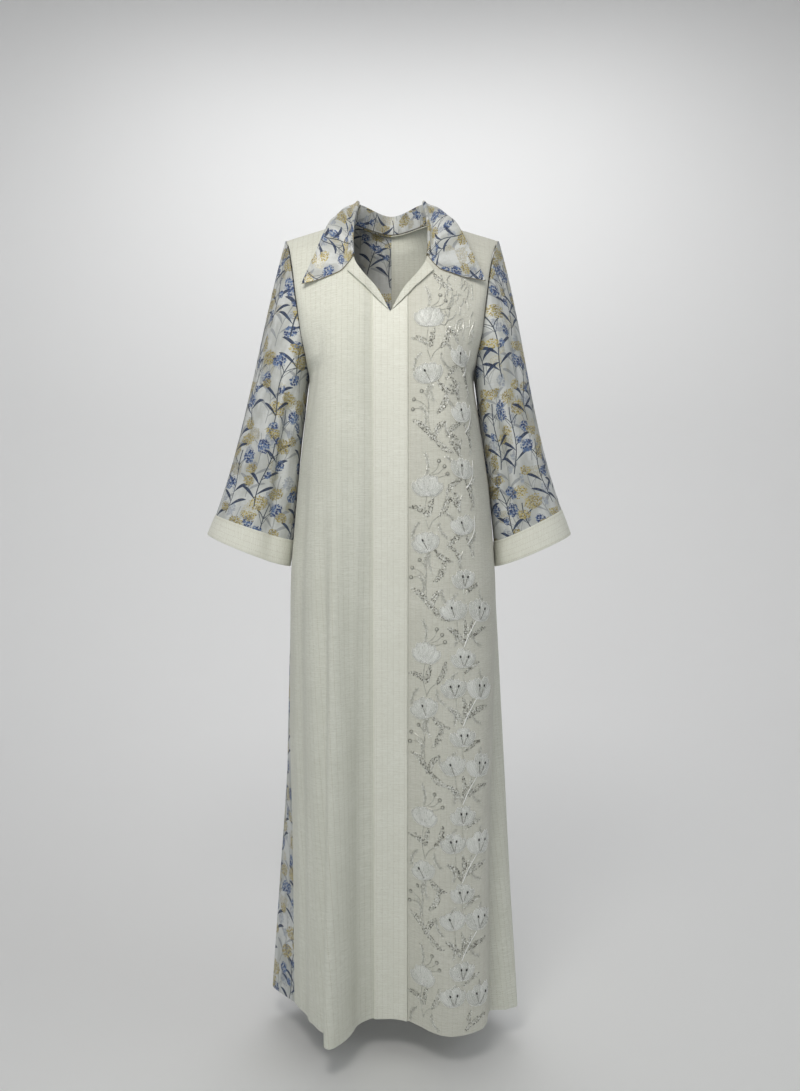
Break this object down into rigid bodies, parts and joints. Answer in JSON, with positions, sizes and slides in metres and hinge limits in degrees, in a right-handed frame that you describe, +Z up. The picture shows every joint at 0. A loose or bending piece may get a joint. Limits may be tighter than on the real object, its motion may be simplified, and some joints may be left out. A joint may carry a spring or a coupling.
{
  "type": "jalabiya",
  "caption": "Floor-length open-collared robe as worn, hollow, with a plain front, an embroidered front, a centre placket, printed wide sleeves and plain cuffs.",
  "frame": {"origin": "midway between the points where the shoulder seams meet the collar, on the level where the wearer's shoulders carry the garment", "axes": "+Z up, the front of the garment faces -Y, the wearer's right side is at -X"},
  "size_m": [0.6532, 0.2895, 1.431],
  "materials": {
    "plain_cloth": "cream crinkled weave with fine dotted metallic stripes",
    "embroidered_cloth": "greyer cream weave with raised white beaded flowers and silver sequin sprays",
    "band_cloth": "cream weave in two layers, topstitched",
    "printed_cloth": "pale grey-blue ground printed with navy, blue and gold flower sprigs"
  },
  "bodies": {
    "root": {"front_right": "plain_cloth", "front_left": "embroidered_cloth", "placket": "band_cloth", "back_right": "printed_cloth", "back_left": "plain_cloth", "revers_right": "plain_cloth", "revers_left": "plain_cloth", "collar": "printed_cloth", "sleeve_right": "printed_cloth", "sleeve_left": "printed_cloth", "cuff_right": "band_cloth", "cuff_left": "band_cloth"}
  },
  "joints": []
}
